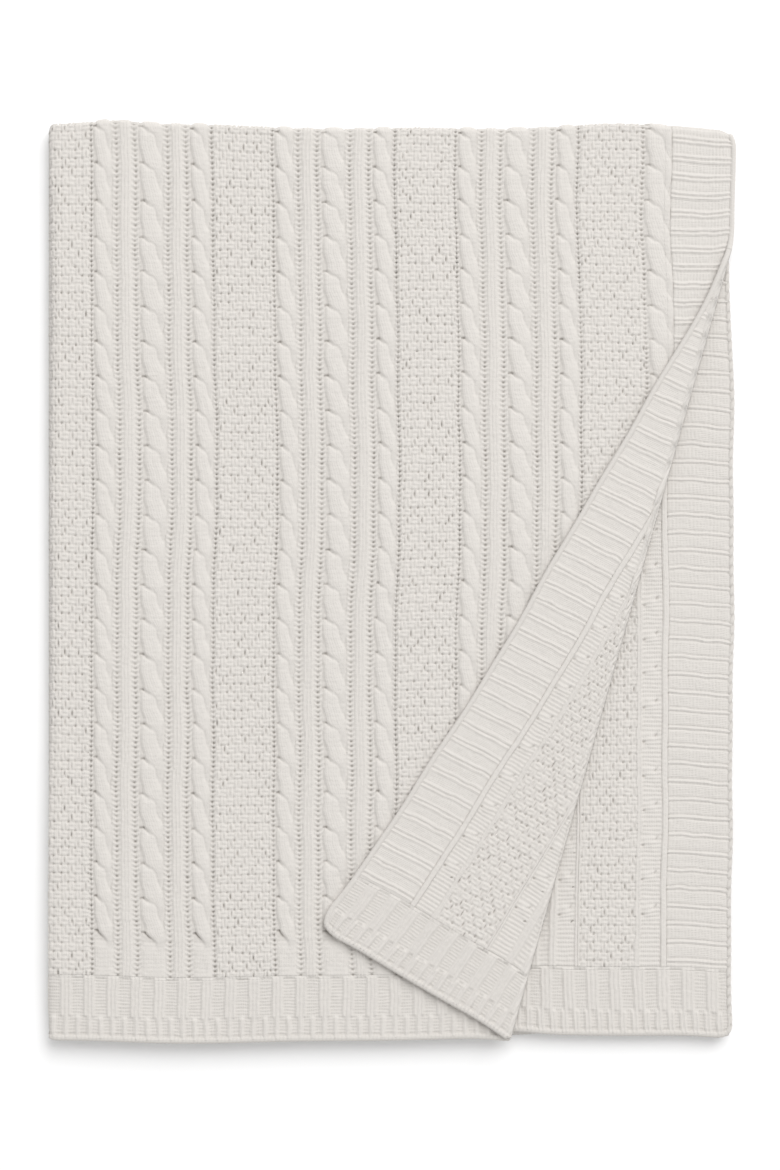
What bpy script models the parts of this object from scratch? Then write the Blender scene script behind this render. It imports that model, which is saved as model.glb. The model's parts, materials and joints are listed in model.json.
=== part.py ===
"""Folded cable knit throw.

One knitted centre panel with a ribbed side band along each side and a ribbed end band
across each end.  The throw is folded crosswise, at the top, and then lengthwise, at the
left, so it lies in four leaves.  The free corner of the top leaf is turned back over it.

Metres, +Z up.  X runs across the folded throw, from the left fold to the free sides.
Y runs along it, from the free ends to the top fold.  The origin is at the middle of the
underside.  Each knitted piece is cut where a fold crosses it: the flat stretches and the
rolled stretches are separate solids.
"""
import math

import bmesh
import bpy
from mathutils import Vector

# The folded throw
FOLDED_WIDTH = 0.652  # left fold to the free side of the top leaf
FOLDED_LENGTH = 0.870  # top fold to the free end of the top leaf
LEAF_THICKNESS = 0.0055
LEAF_GAP = 0.0004  # between one leaf and the next
JOIN_GAP = 0.0003  # between two knitted pieces of one leaf

# The knitted pieces, across their narrow way
SIDE_BAND_WIDTH = 0.0545
EDGE_CHAIN_WIDTH = 0.0050
SIDE_SEAM_WIDTH = 0.0040
END_BAND_WIDTH = 0.0530
END_SEAM_WIDTH = 0.0030
BIND_OFF_WIDTH = 0.0065
EDGE_ROUNDING = 0.0014  # on the edge chains and bound off edges

# The turned back corner of the top leaf
CORNER_START = 0.109  # top fold to the crease, down the free side
CORNER_WIDTH = 0.213  # free side to the crease, along the free end

# How far each leaf's free edges lie inside those of the top leaf: (free side, free end)
LEAF_INSETS = {
    "top": (0.0, 0.0),
    "second": (0.004, 0.008),
    "third": (0.011, 0.005),
    "bottom": (0.008, 0.003),
}

ROLL_SEGMENTS = 8  # in a quarter turn

# Colours of the yarn where it is knitted loosely, in ribs, and in tight edges
PANEL_COLOUR = (0.735, 0.705, 0.660, 1.0)
BAND_COLOUR = (0.720, 0.690, 0.645, 1.0)
EDGE_COLOUR = (0.705, 0.675, 0.630, 1.0)
SEAM_COLOUR = (0.690, 0.660, 0.615, 1.0)

# Worked out from the sizes above
LEFT = -FOLDED_WIDTH / 2
RIGHT = FOLDED_WIDTH / 2
TOP = FOLDED_LENGTH / 2
BOTTOM = -FOLDED_LENGTH / 2
LEAF_PITCH = LEAF_THICKNESS + LEAF_GAP
LEAF_BASE = {
    "bottom": 0.0,
    "third": LEAF_PITCH,
    "second": 2 * LEAF_PITCH,
    "top": 3 * LEAF_PITCH,
}
CORNER_BASE = 4 * LEAF_PITCH
LEFT_FOLD_HEIGHT = 2 * LEAF_PITCH - LEAF_GAP / 2
LEFT_FOLD_RADIUS = LEFT_FOLD_HEIGHT  # the outer roll reaches from the floor to the top
TOP_FOLD_RADIUS = LEAF_THICKNESS + LEAF_GAP / 2
CREASE_RADIUS = LEAF_THICKNESS

CREASE_HEIGHT = CORNER_BASE - LEAF_GAP / 2
CREASE_TOP = Vector((RIGHT, TOP - CORNER_START))
CREASE_END = Vector((RIGHT - CORNER_WIDTH, BOTTOM))
CREASE_RUN = (CREASE_TOP - CREASE_END).normalized()
CREASE_OUT = Vector((CREASE_RUN.y, -CREASE_RUN.x))  # towards the free corner, laid flat


def clear_scene():
    for old in list(bpy.data.objects):
        bpy.data.objects.remove(old, do_unlink=True)


def knit_material(name, colour, roughness):
    material = bpy.data.materials.new(name)
    material.use_nodes = True
    shader = material.node_tree.nodes["Principled BSDF"]
    shader.inputs["Base Color"].default_value = colour
    shader.inputs["Roughness"].default_value = roughness
    shader.inputs["Metallic"].default_value = 0.0
    material.diffuse_color = colour
    return material


def pivot(name, location, parent=None):
    """An empty that moving pieces hang from, on their joint's axis."""
    empty = bpy.data.objects.new(name, None)
    bpy.context.collection.objects.link(empty)
    empty.location = location
    if parent:
        empty.parent = parent
        empty.location = Vector(location) - parent.location
    return empty


def pivot_place(empty):
    place = Vector(empty.location)
    while empty.parent:
        empty = empty.parent
        place += empty.location
    return place


def solid_between(name, near_end, far_end, colour, parent):
    """A closed solid between two matching outlines, each a list of points in the world."""
    centre = sum(near_end + far_end, Vector()) / (len(near_end) + len(far_end))
    work = bmesh.new()
    near = [work.verts.new(point - centre) for point in near_end]
    far = [work.verts.new(point - centre) for point in far_end]
    work.faces.new(near)
    work.faces.new(far)
    for i in range(len(near)):
        j = (i + 1) % len(near)
        work.faces.new((near[i], near[j], far[j], far[i]))
    bmesh.ops.recalc_face_normals(work, faces=work.faces)
    mesh = bpy.data.meshes.new(name)
    work.to_mesh(mesh)
    work.free()
    piece = bpy.data.objects.new(name, mesh)
    bpy.context.collection.objects.link(piece)
    piece.parent = parent
    piece.location = centre - pivot_place(parent)
    # one material for each object, named after it
    mesh.materials.append(knit_material(name, colour, 0.9))
    return piece


def flat_piece(name, outline, base, colour, parent):
    """A stretch of knitting of the leaf's thickness over an outline in X and Y."""
    under = [Vector((x, y, base)) for x, y in outline]
    over = [Vector((x, y, base + LEAF_THICKNESS)) for x, y in outline]
    return solid_between(name, under, over, colour, parent)


def round_edges(piece):
    """Gives a yarn edge the soft section of a chain or a rolled end."""
    bevel = piece.modifiers.new("rounding", "BEVEL")
    bevel.width = EDGE_ROUNDING
    bevel.segments = 2
    bevel.limit_method = "ANGLE"
    bevel.angle_limit = math.radians(60)
    piece.data.shade_smooth()


def rectangle(x_low, x_high, y_low, y_high):
    return [(x_low, y_low), (x_high, y_low), (x_high, y_high), (x_low, y_high)]


def past_crease(point):
    """How far a point lies beyond the crease, towards the free corner."""
    return (Vector(point) - CREASE_TOP).dot(CREASE_OUT)


def cut_along_crease(outline, keep_corner):
    """The part of a convex outline on one side of the creased strip."""
    margin = CREASE_RADIUS + JOIN_GAP
    side = 1 if keep_corner else -1
    kept = []
    for i, point in enumerate(outline):
        following = outline[(i + 1) % len(outline)]
        here = side * past_crease(point) - margin
        there = side * past_crease(following) - margin
        if here >= 0:
            kept.append(point)
        if here * there < 0:
            share = here / (here - there)
            kept.append(tuple(Vector(point).lerp(Vector(following), share)))
    return kept


def turned_back(point):
    """Mirrors a point of the flat leaf across the crease, as turning the corner does."""
    flat = Vector(point)
    return flat - 2 * past_crease(flat) * CREASE_OUT


def leaf_outlines(leaf):
    """The outline of each knitted piece of one leaf, between its folds and free edges."""
    side_inset, end_inset = LEAF_INSETS[leaf]
    left = LEFT + LEFT_FOLD_RADIUS + JOIN_GAP
    top = TOP - TOP_FOLD_RADIUS - JOIN_GAP
    chain_out = RIGHT - side_inset
    chain_in = chain_out - EDGE_CHAIN_WIDTH
    band_out = chain_in - JOIN_GAP
    band_in = band_out - SIDE_BAND_WIDTH
    seam_out = band_in - JOIN_GAP
    seam_in = seam_out - SIDE_SEAM_WIDTH
    panel_out = seam_in - JOIN_GAP
    bind_low = BOTTOM + end_inset
    bind_high = bind_low + BIND_OFF_WIDTH
    end_low = bind_high + JOIN_GAP
    end_high = end_low + END_BAND_WIDTH
    end_seam_low = end_high + JOIN_GAP
    end_seam_high = end_seam_low + END_SEAM_WIDTH
    bottom = end_seam_high + JOIN_GAP
    return {
        "panel": rectangle(left, panel_out, bottom, top),
        "side_seam": rectangle(seam_in, seam_out, bottom, top),
        "side_band": rectangle(band_in, band_out, bottom, top),
        "edge_chain": rectangle(chain_in, chain_out, bottom, top),
        "end_seam": rectangle(left, chain_out, end_seam_low, end_seam_high),
        "end_band": rectangle(left, chain_out, end_low, end_high),
        "bind_off": rectangle(left, chain_out, bind_low, bind_high),
    }


PIECE_COLOURS = {
    "panel": PANEL_COLOUR,
    "side_seam": SEAM_COLOUR,
    "side_band": BAND_COLOUR,
    "edge_chain": EDGE_COLOUR,
    "end_seam": SEAM_COLOUR,
    "end_band": BAND_COLOUR,
    "bind_off": EDGE_COLOUR,
}
ROUNDED_PIECES = ("edge_chain", "bind_off")


def build_leaf(leaf, parent):
    for kind, outline in leaf_outlines(leaf).items():
        if leaf == "top":
            outline = cut_along_crease(outline, keep_corner=False)
        name = leaf + "_leaf_" + kind
        piece = flat_piece(name, outline, LEAF_BASE[leaf], PIECE_COLOURS[kind], parent)
        if kind in ROUNDED_PIECES:
            round_edges(piece)


def build_corner(parent):
    """The corner of the top leaf, turned back over it, with its wrong side up."""
    for kind, outline in leaf_outlines("top").items():
        flat = cut_along_crease(outline, keep_corner=True)
        turned = [tuple(turned_back(point)) for point in flat]
        piece = flat_piece("corner_" + kind, turned, CORNER_BASE, PIECE_COLOURS[kind], parent)
        if kind in ROUNDED_PIECES:
            round_edges(piece)


def build_left_fold(leaf, parent):
    """A quarter turn of one leaf, from its flat stretch to the height of the left fold."""
    outermost = leaf in ("top", "bottom")
    up = 1 if leaf in ("top", "second") else -1
    outer = LEFT_FOLD_RADIUS if outermost else LEFT_FOLD_RADIUS - LEAF_PITCH
    inner = outer - LEAF_THICKNESS if outermost else 0.0
    middle_x = LEFT + LEFT_FOLD_RADIUS
    clear = LEAF_GAP / 2

    def arc(radius, outwards):
        start = math.asin(clear / radius)
        steps = range(ROLL_SEGMENTS + 1)
        angles = [start + (math.pi / 2 - start) * i / ROLL_SEGMENTS for i in steps]
        if not outwards:
            angles.reverse()
        return [(middle_x - radius * math.cos(a), radius * math.sin(a)) for a in angles]

    section = arc(outer, True)
    section += arc(inner, False) if inner else [(middle_x, clear)]
    low = BOTTOM + LEAF_INSETS[leaf][1]
    high = TOP - TOP_FOLD_RADIUS - JOIN_GAP
    near = [Vector((x, low, LEFT_FOLD_HEIGHT + up * z)) for x, z in section]
    far = [Vector((x, high, LEFT_FOLD_HEIGHT + up * z)) for x, z in section]
    solid_between(leaf + "_leaf_left_fold", near, far, PANEL_COLOUR, parent)


def build_top_fold(pair, upper_leaf, lower_leaf, parent):
    """The half turn that joins the two leaves of a pair, in the panel and in the band."""
    middle_y = TOP - TOP_FOLD_RADIUS
    middle_z = LEAF_BASE[lower_leaf] + TOP_FOLD_RADIUS
    steps = 2 * ROLL_SEGMENTS
    section = []
    for i in range(steps + 1):
        angle = math.pi * i / steps - math.pi / 2
        y = middle_y + TOP_FOLD_RADIUS * math.cos(angle)
        z = middle_z + TOP_FOLD_RADIUS * math.sin(angle)
        section.append((y, z))
    side_inset = LEAF_INSETS[upper_leaf][0]
    left = LEFT + LEFT_FOLD_RADIUS + JOIN_GAP
    right = RIGHT - side_inset
    band_in = right - EDGE_CHAIN_WIDTH - JOIN_GAP - SIDE_BAND_WIDTH
    stretches = {"panel": (left, band_in - JOIN_GAP), "band": (band_in, right)}
    colours = {"panel": PANEL_COLOUR, "band": BAND_COLOUR}
    for kind, (x_low, x_high) in stretches.items():
        near = [Vector((x_low, y, z)) for y, z in section]
        far = [Vector((x_high, y, z)) for y, z in section]
        solid_between(pair + "_top_fold_" + kind, near, far, colours[kind], parent)


def crease_ends(offset):
    """Where a line beside the crease meets the free side and the free end."""
    beside = CREASE_OUT * offset
    at_side = CREASE_TOP + beside - CREASE_RUN * (beside.x / CREASE_RUN.x)
    at_end = CREASE_END + beside - CREASE_RUN * (beside.y / CREASE_RUN.y)
    return at_side, at_end


def build_crease(parent_under, parent_over):
    """The creased strip: a quarter turn in the top leaf and one in the turned back corner."""
    under_side, under_end, over_side, over_end = [], [], [], []
    base = LEAF_BASE["top"]
    angles = [math.pi / 2 * i / ROLL_SEGMENTS for i in range(ROLL_SEGMENTS + 1)]
    section = [(CREASE_RADIUS * (1 - math.cos(a)), CREASE_RADIUS * math.sin(a)) for a in angles]
    section.append((CREASE_RADIUS, 0.0))
    for inside, rise in section:
        at_side, at_end = crease_ends(-inside)
        height = base + LEAF_THICKNESS - rise
        under_side.append(Vector((*at_side, height)))
        under_end.append(Vector((*at_end, height)))
        at_side, at_end = crease_ends(inside)
        height = CORNER_BASE + rise
        over_side.append(Vector((*turned_back(at_side), height)))
        over_end.append(Vector((*turned_back(at_end), height)))
    solid_between("corner_crease_under", under_side, under_end, PANEL_COLOUR, parent_under)
    solid_between("corner_crease_over", over_side, over_end, PANEL_COLOUR, parent_over)


def build_throw():
    clear_scene()
    lower_pair = pivot("throw", (0.0, 0.0, 0.0))
    upper_pair = pivot("left_fold_line", (LEFT, 0.0, LEFT_FOLD_HEIGHT), lower_pair)
    crease_start = (CREASE_TOP.x, CREASE_TOP.y, CREASE_HEIGHT)
    corner = pivot("corner_crease_line", crease_start, upper_pair)
    for leaf, parent in (
        ("bottom", lower_pair),
        ("third", lower_pair),
        ("second", upper_pair),
        ("top", upper_pair),
    ):
        build_leaf(leaf, parent)
        build_left_fold(leaf, parent)
    build_top_fold("lower", "third", "bottom", lower_pair)
    build_top_fold("upper", "top", "second", upper_pair)
    build_corner(corner)
    build_crease(upper_pair, corner)


build_throw()
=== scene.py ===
import json
import math

import bmesh
import bpy
import numpy as np
from mathutils import Matrix, Vector


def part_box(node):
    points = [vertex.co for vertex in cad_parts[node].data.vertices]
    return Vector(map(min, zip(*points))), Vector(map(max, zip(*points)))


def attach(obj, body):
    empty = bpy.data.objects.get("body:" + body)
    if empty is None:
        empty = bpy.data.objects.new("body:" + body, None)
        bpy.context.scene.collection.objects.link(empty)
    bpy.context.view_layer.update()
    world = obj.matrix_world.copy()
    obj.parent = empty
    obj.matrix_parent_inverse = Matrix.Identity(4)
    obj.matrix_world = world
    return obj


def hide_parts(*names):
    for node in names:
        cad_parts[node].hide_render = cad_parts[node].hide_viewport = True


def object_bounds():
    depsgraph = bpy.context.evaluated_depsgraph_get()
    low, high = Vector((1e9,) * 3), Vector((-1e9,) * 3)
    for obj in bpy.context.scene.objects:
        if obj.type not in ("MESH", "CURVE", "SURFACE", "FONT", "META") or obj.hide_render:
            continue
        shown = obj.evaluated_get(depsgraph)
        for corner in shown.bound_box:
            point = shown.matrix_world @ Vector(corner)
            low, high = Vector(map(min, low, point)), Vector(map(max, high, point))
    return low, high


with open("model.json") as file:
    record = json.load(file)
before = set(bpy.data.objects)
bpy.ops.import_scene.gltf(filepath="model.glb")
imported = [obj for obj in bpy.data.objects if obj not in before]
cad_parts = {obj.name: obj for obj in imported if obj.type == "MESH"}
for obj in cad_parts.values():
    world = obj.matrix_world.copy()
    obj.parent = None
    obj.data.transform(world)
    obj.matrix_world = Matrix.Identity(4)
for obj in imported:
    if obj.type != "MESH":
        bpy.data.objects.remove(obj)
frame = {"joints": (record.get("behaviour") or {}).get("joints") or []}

MM = 0.001
CAD_BOUNDS = [list(corner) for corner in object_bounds()]

# ---------------------------------------------------------------- places, from the frame
JOINTS = {joint["name"]: joint for joint in frame["joints"]}
LEAVES = ("bottom", "third", "second", "top")
LEAF_BODY = {"bottom": "lower_pair", "third": "lower_pair", "second": "upper_pair", "top": "upper_pair"}
OUTER_LEAVES = ("bottom", "top")
RIGHT_SIDE_UP = {"bottom": False, "third": True, "second": False, "top": True}

LEFT, BOTTOM = CAD_BOUNDS[0][0], CAD_BOUNDS[0][1]
RIGHT, TOP = CAD_BOUNDS[1][0], CAD_BOUNDS[1][1]
LEAF_LOW = {leaf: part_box(leaf + "_leaf_panel")[0].z for leaf in LEAVES}
LEAF_HIGH = {leaf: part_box(leaf + "_leaf_panel")[1].z for leaf in LEAVES}
LEAF_THICKNESS = LEAF_HIGH["top"] - LEAF_LOW["top"]
STACK_HEIGHT = LEAF_HIGH["top"]
FOLD_RADIUS = JOINTS["left_fold"]["pos_m"][2]
TOP_RADIUS = {leaf: 0.0 for leaf in LEAVES}
for lower, upper in (("bottom", "third"), ("second", "top")):
    reach = (LEAF_HIGH[upper] - LEAF_LOW[lower]) / 2
    TOP_RADIUS[lower] = TOP_RADIUS[upper] = reach
FREE_SIDE = {leaf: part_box(leaf + "_leaf_edge_chain")[1].x for leaf in LEAVES}
FREE_END = {leaf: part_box(leaf + "_leaf_bind_off")[0].y for leaf in LEAVES}

CREASE_AT = Vector(JOINTS["corner_crease"]["pos_m"])
CREASE_RUN = Vector(JOINTS["corner_crease"]["axis"]).normalized()
CREASE_OUT = Vector((CREASE_RUN.y, -CREASE_RUN.x, 0.0))
CREASE_LENGTH = (CREASE_AT.y - BOTTOM) / CREASE_RUN.y
TURN_CORNER = (
    Matrix.Translation(CREASE_AT)
    @ Matrix.Rotation(math.pi, 4, CREASE_RUN)
    @ Matrix.Translation(-CREASE_AT)
)

# ---------------------------------------------------------------- the knitting
# Columns of the panel, measured from the left fold
FIRST_GROUP = 99.6 * MM  # middle of the first large cable
GROUP_PITCH = 173.7 * MM
GROUPS = 3
LARGE_CABLE_HALF = 11.6 * MM
INNER_LADDER = 8.0 * MM
RIB_WIDTH = 10.0 * MM
OUTER_LADDER = 8.0 * MM
SMALL_CABLE_HALF = 9.1 * MM
EDGE_LADDER = 4.6 * MM
BASKET_CELL = 6.6 * MM
RIB_MIDDLE = LARGE_CABLE_HALF + INNER_LADDER + RIB_WIDTH / 2
SMALL_MIDDLE = LARGE_CABLE_HALF + INNER_LADDER + RIB_WIDTH + OUTER_LADDER + SMALL_CABLE_HALF
GROUP_HALF = SMALL_MIDDLE + SMALL_CABLE_HALF + EDGE_LADDER

# Columns beside the free side, measured from it
CHAIN_WIDTH = 5.0 * MM
SIDE_BAND = 59.2 * MM
SIDE_SEAM = 5.8 * MM
SIDE_CABLE_MIDDLE = SIDE_BAND + SIDE_SEAM + SMALL_CABLE_HALF
SIDE_CABLE_END = SIDE_CABLE_MIDDLE + SMALL_CABLE_HALF + EDGE_LADDER

# Rows, measured from the free end
BIND_OFF = 6.5 * MM
SPLIT_RIBS = 23.5 * MM
END_BAND = 60.0 * MM
END_SEAM = 3.0 * MM
FIRST_CROSSING = 114.2 * MM
CROSSINGS_TO_FOLD = 23.0
LADDER_ROWS = 7  # in one crossing
BASKET_ROWS = 4  # pairs of rows in one crossing
SIDE_RIBS_TO_FOLD = 47.5
END_RIB_PITCH = 22.3 * MM
END_RIB_START = 17.0 * MM

STITCH = 3.2 * MM
ROW = 4.1 * MM

FINE = 0.92 * MM
MEDIUM = 1.3 * MM
COARSE = 2.2 * MM


def bump(x, width):
    return np.exp(-((x / width) ** 2))


def ease(x, low, high):
    t = np.clip((x - low) / (high - low), 0, 1)
    return t * t * (3 - 2 * t)


def chance(i, j):
    """A number from 0 to 1 that looks random, the same each time for a pair of whole numbers."""
    turned = np.sin(i * 127.1 + j * 311.7) * 4375.85
    return turned - np.floor(turned)


def uneven(x, y, size):
    """Smooth irregularity from -1 to 1, with bumps of about a given size."""
    a, b = x / size, y / size
    i, j = np.floor(a), np.floor(b)
    a, b = ease(a - i, 0, 1), ease(b - j, 0, 1)
    low = chance(i, j) * (1 - a) + chance(i + 1, j) * a
    high = chance(i, j + 1) * (1 - a) + chance(i + 1, j + 1) * a
    return 2 * (low * (1 - b) + high * b) - 1


def knit_stitches(across, along, width=STITCH, row=ROW):
    """Columns of V shaped stitches, from about -1 in the grooves to 0.6 on the yarn."""
    column = across / width
    beside = 2 * np.abs(column - np.round(column))
    legs = np.cos(2 * np.pi * (along / row + 0.42 * beside))
    return 0.55 * legs * (1 - beside**3) - 0.9 * beside**4 - 0.25 * bump(beside, 0.3)


def purl_rows(across, along, width=STITCH, row=ROW):
    """Rows of purl bumps: short bars, each a stitch wide, half a stitch apart on every row."""
    rows = along / row
    column = across / width + 0.5 * np.mod(np.floor(rows), 2)
    return 0.55 * np.cos(2 * np.pi * rows) + 0.2 * np.cos(2 * np.pi * column)


def strand(x, t, half):
    """One strand of a cable near its own crossing, where t is 0, in front. It comes down the left,
    crosses to the right over the strand before it, and goes under the next one."""
    left = half * (0.30 * ease(-t, -0.3, 0.22) + 0.9 * ease(-t, 0.2, 0.62) - 0.95)
    right = half * (0.50 + 0.49 * ease(-t, -0.35, 0.32) - 0.14 * ease(-t, 0.75, 1.1))
    middle, reach = (left + right) / 2, (right - left) / 2
    across = (x - middle) / reach
    sunk = 1.5 * ease(-t, 0.3, 1.15) + 1.3 * ease(t, 0.42, 0.78) + 6 * ease(t, 0.72, 0.9)
    sunk = sunk + 6 * ease(-t, 1.15, 1.35)
    rounded = np.sqrt(np.clip(1 - np.abs(across) ** 3, 0, None))
    return (-2.3 + 2.3 * rounded - sunk) * MM, across * half / 2


def cable(x, v, half, period):
    """A two strand cable, how far its stitches are shifted across, and where they change over."""
    phase = (v - FIRST_CROSSING) / period
    nearest = np.maximum(np.round(phase), 0)
    best, lateral = strand(x, phase - nearest, half)
    change = np.zeros_like(best)
    for other in (-1, 1):
        level, beside = strand(x, phase - nearest - other, half)
        level = np.where(nearest + other < -0.5, -9 * MM, level)
        lateral = np.where(level > best, beside, lateral)
        change = np.maximum(change, bump(level - best, 0.8 * MM))
        meeting = 0.3 * MM * bump(level - best, 0.5 * MM) * (np.maximum(level, best) > -2.4 * MM)
        best = np.maximum(best, level) - meeting
    best = np.maximum(best, (-2.4 + 0.25 * np.cos(2 * np.pi * v / ROW)) * MM)

    # the hooked hollow where a strand comes out from under the one above it
    below = np.mod(-phase, 1)
    edge = half * (0.9 * ease(below, 0.2, 0.62) - 0.65)
    depth = (0.9 + 0.9 * chance(np.ceil(phase), np.floor(40 * half / MM))) * MM
    shown = ease(below, 0.22, 0.27) * (1 - ease(below, 0.36, 0.50)) * (phase > -0.7)
    best = best - depth * shown * bump(x - edge + 0.9 * MM, 1.15 * MM)
    arch = bump((below - 0.27) * period, 0.9 * MM) * (1 - ease(x / half, -0.75, -0.45)) * (phase > -0.7)
    best = best - 0.8 * depth * arch

    plain = ease(-phase, 0.45, 0.8)
    flat = -0.7 * MM - 1.4 * MM * np.abs(x / half) ** 6
    best = best * (1 - plain) + flat * plain
    stitches = (0.20 + 0.10 * plain) * MM * ease(best / MM, -2.0, -1.0)
    shift = (lateral - x) * (1 - plain) * (1 - np.abs(x / half) ** 6)
    return best + stitches * (knit_stitches(x + shift + STITCH / 2, v) - 0.3), shift, change


def cable_back(x, v, half, period):
    """The wrong side of a cable: purl rows, with a bump and a hooked hollow at each crossing."""
    phase = (v - FIRST_CROSSING) / period
    t = (phase - np.maximum(np.round(phase), 0)) * period
    away = bump(t, 5.5 * MM)
    slant = 0.16 * np.clip(x / half + 1, 0, 2) * away
    level = -1.7 * MM + 0.34 * MM * np.cos(2 * np.pi * (v / ROW + 1.6 * slant))
    level = level + 1.0 * MM * away * bump(x - 0.15 * half, 0.55 * half)
    hook = bump(x + 0.45 * half + 0.5 * (t - 4 * MM), 1.1 * MM) * bump(t - 4.0 * MM, 2.0 * MM)
    hook = hook + bump(x - 0.8 * half, 1.3 * MM) * bump(t + 3.0 * MM, 1.5 * MM)
    return level - 1.7 * MM * hook


def ladder(x, v, half, row):
    """Two columns of purl stitches sunk between raised columns, with a hole on each row."""
    lx = np.abs(x / half)
    turn = v / row - 0.3 * lx
    bead = 0.5 * MM * np.cos(2 * np.pi * turn)
    gap = ((1 - np.cos(2 * np.pi * v / row)) / 2) ** 2
    hole = (0.7 + 1.4 * chance(np.round(v / row), np.floor(half / MM))) * MM * bump(x, 1.1 * MM) * gap
    return -2.1 * MM + bead * (1 - 0.4 * lx) - hole + 0.5 * MM * lx**3


def ladder_back(x, v, half, row):
    groove = 0.55 * MM * bump(x, 0.7 * MM) + 1.0 * MM * np.abs(x / half) ** 6
    return -0.3 * MM + 0.16 * MM * knit_stitches(x + STITCH / 2, v, row=row) - groove


def rib(x, v, row):
    """Three knit columns, raised."""
    width = RIB_WIDTH / 3
    groove = 0.62 * MM * bump(np.abs(x) - width / 2, 0.62 * MM)
    edge = 1.3 * MM * np.abs(x / (RIB_WIDTH / 2)) ** 6
    return -0.55 * MM - groove - edge + 0.16 * MM * knit_stitches(x, v, width, row)


def rib_back(x, v, row):
    rows = 0.3 * MM * np.cos(2 * np.pi * v / row)
    return -1.9 * MM + rows + 0.5 * MM * np.abs(x / (RIB_WIDTH / 2)) ** 4


def basket(x, v, rows, flip):
    """Blocks of two upright stitches and of two level ones, turn about, with holes between."""
    across, along = x / BASKET_CELL, v / rows
    odd = np.mod(np.floor(across) + np.floor(along) + flip, 2)
    a, b = across - np.floor(across), along - np.floor(along)
    upright = np.abs(np.sin(2 * np.pi * a)) ** 0.7 * np.sin(np.pi * b) ** 0.3
    level = np.abs(np.sin(2 * np.pi * b)) ** 0.7 * np.sin(np.pi * a) ** 0.35
    yarn = np.where(odd > 0.5, upright, 0.85 * level)
    corner_x = BASKET_CELL * (across - np.round(across))
    corner_v = rows * (along - np.round(along))
    hole = bump(np.hypot(corner_x, 0.8 * corner_v), 1.0 * MM)
    slit = bump(BASKET_CELL * (a - 0.5), 0.75 * MM) * bump(b - 0.5, 0.3)
    slit = np.where(odd > 0.5, slit, 0) * (0.15 + 1.2 * chance(np.floor(across), np.floor(along)) ** 2)
    hole = hole * (0.3 + 1.1 * chance(np.round(across), np.round(along) + 7))
    lift = 0.5 * chance(np.floor(across) + 3, np.floor(along)) - 0.25
    return (-1.95 + 1.2 * yarn + lift - 1.5 * hole - 2.3 * slit) * MM


def side_band(w, v, pitch, wrong, turned):
    """Ribs square to the free side, with flat knitting between them."""
    y = v - pitch * (np.floor(v / pitch) + 0.5)
    dash = 1 + 0.25 * np.cos(2 * np.pi * w / (3.3 * MM))
    if wrong and not turned:
        grooves = bump(np.abs(y) - 2.1 * MM, 0.8 * MM)
        level = -1.1 * MM - 0.9 * MM * grooves * dash + 0.55 * MM * bump(y, 1.2 * MM)
    else:
        ridges = bump(np.abs(y) - 2.0 * MM, 1.3 * MM) * (0.7 if wrong else 0.85)
        grooves = bump(y, 0.75 * MM) + (0.2 if wrong else 0.6) * bump(np.abs(y) - 4.6 * MM, 1.0 * MM)
        bumpy = 1 + 0.3 * uneven(w, v, 2.6 * MM)
        level = -1.5 * MM + MM * ridges * bumpy - 0.55 * MM * grooves * dash
    columns = 0.17 * MM * np.cos(2 * np.pi * w / (3.0 * MM)) * ease(np.abs(y), 3.6 * MM, 5 * MM)
    fine = 0.13 * MM * purl_rows(y, w, 3.1 * MM, 3.6 * MM) + columns
    rounded = 0.3 * MM * bump(w - CHAIN_WIDTH, 2.2 * MM) + 0.2 * MM * bump(SIDE_BAND - w, 2.0 * MM)
    return level + fine - rounded


def side_seam(w, v):
    """The linking between the side band and the panel, a flat ridge on the wrong side. On the
    right side the cable beside it hides it."""
    x = w - SIDE_BAND - SIDE_SEAM / 2
    stitches = 0.5 + 0.5 * np.cos(2 * np.pi * v / (4.1 * MM))
    edge = np.clip(np.abs(x) / (SIDE_SEAM / 2), 0, 1)
    return -0.2 * MM - 1.2 * MM * edge**5 - 0.3 * MM * bump(x, 0.7 * MM) * stitches


def end_band(u, v, wrong):
    """Wide ribs along the throw, which split into narrow ones near the free end."""
    x = u - END_RIB_START
    x = x - END_RIB_PITCH * np.round(x / END_RIB_PITCH)
    beside = END_RIB_PITCH / 2 - np.abs(x)
    split = 1 - ease(v, SPLIT_RIBS - 1.5 * MM, SPLIT_RIBS + 1.5 * MM)
    wide_rib = 1 - ease(np.abs(x), 4.8 * MM, 6.0 * MM)
    thin_rib = 1 - ease(np.minimum(np.abs(x), beside), 1.9 * MM, 2.9 * MM)
    raised = wide_rib * (1 - split) + thin_rib * split
    if wrong:
        raised = 1 - raised
    grooves = np.cos(2 * np.pi * x / (3.6 * MM))
    columns = 0.34 * MM * grooves + 0.12 * MM * knit_stitches(x, v, 3.6 * MM, 3.2 * MM)
    rows = 0.30 * MM * np.cos(2 * np.pi * v / (3.1 * MM))
    texture = columns * raised + rows * (1 - raised)
    rounded = 0.35 * MM * bump(v - BIND_OFF, 1.3 * MM)
    return -2.0 * MM + 1.25 * MM * raised + texture - rounded


def end_seam(u, v, band, panel):
    """The line of linking above the end band, where one knitting gives way to the other."""
    x = v - END_BAND - END_SEAM / 2
    stitches = 0.5 + 0.5 * np.cos(2 * np.pi * u / (3.7 * MM))
    share = ease(x, -0.8 * END_SEAM, 0.8 * END_SEAM)
    return band * (1 - share) + panel * share - 0.45 * MM * bump(x, 1.0 * MM) * stitches


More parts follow.
